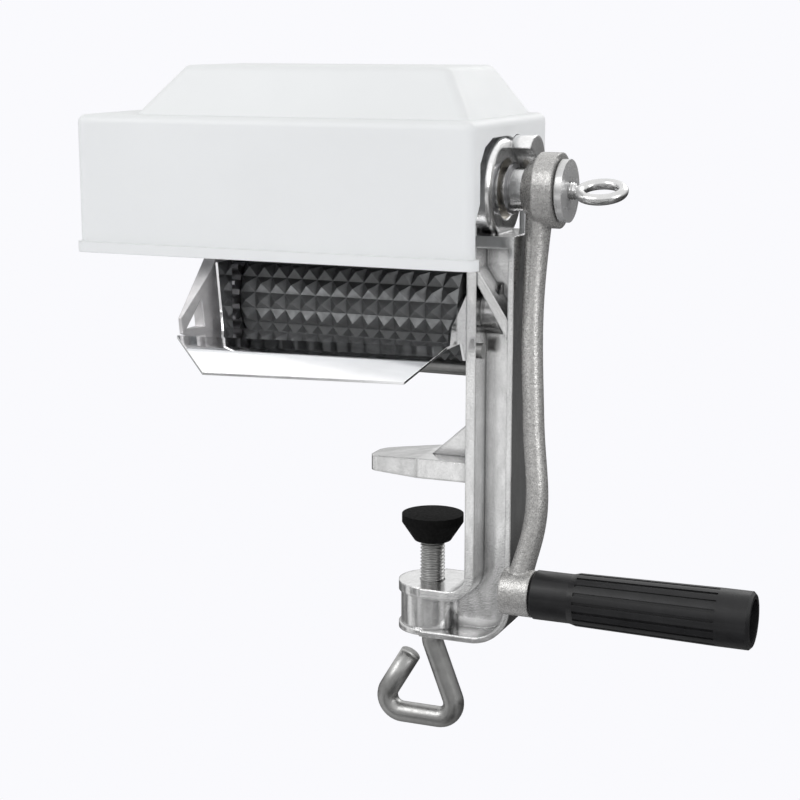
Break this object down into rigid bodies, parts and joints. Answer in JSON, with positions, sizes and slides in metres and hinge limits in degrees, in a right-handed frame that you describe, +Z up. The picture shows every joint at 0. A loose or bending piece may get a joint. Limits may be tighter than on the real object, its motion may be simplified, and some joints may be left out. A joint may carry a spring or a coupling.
{
  "type": "crank meat tenderizer",
  "caption": "Clamp-on hand cranked meat tenderizer: a crank turns geared pyramid-studded rollers under a lift-off hood, fed from behind over a tray and emptied down a chute.",
  "frame": {"origin": "on the underside of the upper jaw, where the clamp screw's axis meets it", "axes": "+X along the crank axis towards the crank, +Y away from the cook towards the table and the feed side, +Z up"},
  "size_m": [0.3325, 0.1617, 0.3227],
  "materials": {
    "cast_aluminium": "polished casting",
    "grey_casting": "matte casting",
    "bearing_bronze": "sintered",
    "zinc_steel": "zinc plated",
    "stainless_sheet": "mirror polished sheet",
    "roller_casting": "matte as cast",
    "gear_steel": "machined",
    "tinned_iron": "rough tinned casting",
    "polished_steel": "polished",
    "black_grip": "gloss",
    "white_hood": "satin moulding",
    "black_rubber": "matte"
  },
  "bodies": {
    "frame": {"clamp_frame": "cast_aluminium", "left_end_plate": "grey_casting", "crank_bushing": "bearing_bronze", "roller_bushing": "bearing_bronze", "left_upper_bushing": "bearing_bronze", "left_lower_bushing": "bearing_bronze", "tie_rods": "zinc_steel", "tie_rod_nuts": "zinc_steel", "discharge_chute": "stainless_sheet", "chute_screws": "zinc_steel", "feed_tray": "stainless_sheet", "feed_tray_screws": "zinc_steel"},
    "crank": {"upper_roller": "roller_casting", "crank_shaft": "polished_steel", "upper_gear": "gear_steel", "upper_key": "gear_steel", "crank_shaft_rings": "gear_steel", "crank_arm": "tinned_iron", "grip_spindle": "zinc_steel", "grip_washer": "zinc_steel"},
    "lower_roller_set": {"lower_roller": "roller_casting", "lower_shaft": "polished_steel", "lower_gear": "gear_steel", "lower_key": "gear_steel", "lower_shaft_ring": "gear_steel"},
    "grip": {"crank_grip": "black_grip"},
    "cap": {"hub_washer": "polished_steel"},
    "eye": {"eye_screw": "polished_steel"},
    "pad": {"clamp_pad": "black_rubber"},
    "screw": {"clamp_screw": "zinc_steel"},
    "cover": {"hood": "white_hood"}
  },
  "joints": [
    {"name": "crank_turn", "type": "hinge", "parent": "frame", "child": "crank", "pos_m": [0, 0, 0.137], "axis": [1, 0, 0], "continuous": true},
    {"name": "lower_roller_turn", "type": "hinge", "parent": "frame", "child": "lower_roller_set", "pos_m": [0, 0, 0.082], "axis": [1, 0, 0], "continuous": true},
    {"name": "grip_spin", "type": "hinge", "parent": "crank", "child": "grip", "pos_m": [0.1149, -0.03826, -0.04298], "axis": [1, 0, 0], "continuous": true},
    {"name": "cap_travel", "type": "slide", "parent": "crank", "child": "cap", "axis": [1, 0, 0], "range_m": [0, 0.012]},
    {"name": "eye_turn", "type": "hinge", "parent": "cap", "child": "eye", "pos_m": [0.07, 0, 0.137], "axis": [1, 0, 0], "range_deg": [0, 3460]},
    {"name": "pad_travel", "type": "slide", "parent": "frame", "child": "pad", "axis": [0, 0, 1], "range_m": [-0.019, 0.001]},
    {"name": "clamp_screw_turn", "type": "hinge", "parent": "pad", "child": "screw", "pos_m": [0, 0, -0.05], "axis": [0, 0, 1], "range_deg": [-3912, 210]},
    {"name": "hood_lift", "type": "slide", "parent": "frame", "child": "cover", "axis": [0, 0, 1], "range_m": [0, 0.1]}
  ],
  "couplings": [
    {"joint": "lower_roller_turn", "follows": "crank_turn", "ratio": -1},
    {"joint": "eye_turn", "follows": "cap_travel", "rad_per_m": 5026.5},
    {"joint": "clamp_screw_turn", "follows": "pad_travel", "rad_per_m": 3590.4}
  ]
}
